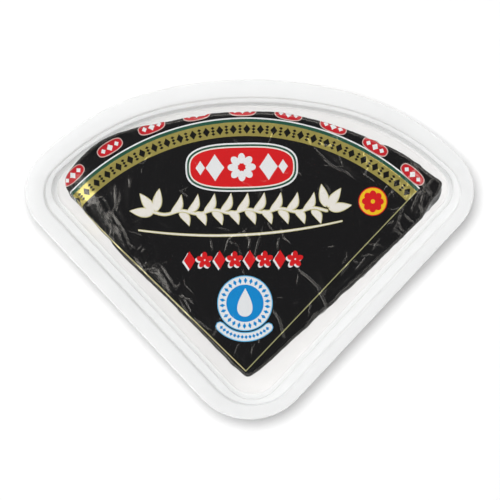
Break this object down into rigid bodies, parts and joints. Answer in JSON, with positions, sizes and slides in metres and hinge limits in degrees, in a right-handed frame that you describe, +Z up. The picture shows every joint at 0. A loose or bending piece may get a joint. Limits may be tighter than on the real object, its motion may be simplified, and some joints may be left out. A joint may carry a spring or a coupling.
{
  "type": "gorgonzola wedge in a sealed clear tray",
  "caption": "Quarter-round portion of blue cheese wrapped in dark printed foil, lying in a clear flanged plastic tray sealed with a clear film.",
  "frame": {"origin": "on the surface that the tray stands on, under the middle of the tray's bounding box", "axes": "+Z up, +X along the longest width of the tray, +Y towards the bowed edge of the portion, away from its tip"},
  "size_m": [0.1866, 0.1414, 0.0282],
  "materials": {
    "clear_tray": "clear thermoformed plastic sheet, glossy",
    "clear_film": "thin clear sealing film, glossy",
    "printed_foil": "black printed foil with gold, green, red and white print, creased and glossy"
  },
  "bodies": {
    "root": {"tray": "clear_tray", "lid_film": "clear_film", "wrapped_wedge": "printed_foil"}
  },
  "joints": []
}
